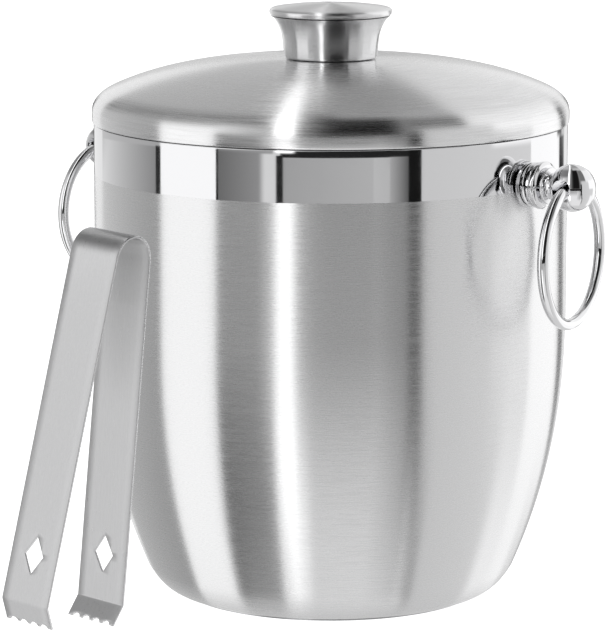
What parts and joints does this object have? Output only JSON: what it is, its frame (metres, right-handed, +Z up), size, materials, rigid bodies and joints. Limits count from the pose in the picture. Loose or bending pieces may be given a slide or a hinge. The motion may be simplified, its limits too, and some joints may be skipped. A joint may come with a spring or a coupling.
{
  "type": "ice bucket",
  "caption": "Double-wall steel ice bucket with a domed lift-off lid, turned knob, swinging ring handles, a perforated false bottom and spring tongs.",
  "frame": {"origin": "middle of the base plate's underside, on the surface the bucket stands on", "axes": "+Z up along the bucket's axis, +X through the right handle, -Y towards the tongs"},
  "size_m": [0.2484, 0.2443, 0.2409],
  "materials": {
    "brushed_shell": "circumferentially brushed, with a mirror-polished band under the rim",
    "satin_liner": "satin",
    "silicone_seal": "matt grey silicone",
    "fastener_steel": "plain machined steel",
    "polished_fittings": "mirror polished",
    "tongs_steel": "fine satin, brushed along the strip, with bright edges"
  },
  "bodies": {
    "bucket": {"outer_shell": "brushed_shell", "inner_liner": "satin_liner", "base_plate": "satin_liner", "right_handle_rosette": "polished_fittings", "right_handle_post": "polished_fittings", "right_handle_washer": "fastener_steel", "right_handle_screw": "fastener_steel", "left_handle_rosette": "polished_fittings", "left_handle_post": "polished_fittings", "left_handle_washer": "fastener_steel", "left_handle_screw": "fastener_steel"},
    "lid": {"lid_shell": "brushed_shell", "lid_inner_pan": "satin_liner", "lid_seal": "silicone_seal", "knob_body": "brushed_shell", "knob_cap": "brushed_shell", "knob_washer": "fastener_steel", "knob_screw": "fastener_steel"},
    "right_ring": {"right_handle_ring": "polished_fittings"},
    "left_ring": {"left_handle_ring": "polished_fittings"},
    "strainer": {"ice_strainer": "satin_liner"},
    "tongs_rear": {"tongs_rear_arm": "tongs_steel"},
    "tongs_front": {"tongs_front_arm": "tongs_steel"}
  },
  "joints": [
    {"name": "lid_lift", "type": "slide", "parent": "bucket", "child": "lid", "axis": [0, 0, 1], "range_m": [0, 0.25]},
    {"name": "right_ring_swing", "type": "hinge", "parent": "bucket", "child": "right_ring", "pos_m": [0.1148, 0, 0.1746], "axis": [0, -1, 0], "range_deg": [-16, 207]},
    {"name": "left_ring_swing", "type": "hinge", "parent": "bucket", "child": "left_ring", "pos_m": [-0.1148, 0, 0.1746], "axis": [0, 1, 0], "range_deg": [-16, 207]},
    {"name": "strainer_lift", "type": "slide", "parent": "bucket", "child": "strainer", "axis": [0, 0, 1], "range_m": [0, 0.155]},
    {"name": "tongs_pick_up", "type": "slide", "parent": "bucket", "child": "tongs_rear", "axis": [-0.1545, -0.4754, 0.8661], "range_m": [0, 0.2]},
    {"name": "tongs_squeeze", "type": "hinge", "parent": "tongs_rear", "child": "tongs_front", "pos_m": [-0.0329, -0.1033, 0.14723], "axis": [0.9958, -0.076, -0.0508], "range_deg": [0, 12], "stiffness_Nm_per_rad": 1.5}
  ]
}
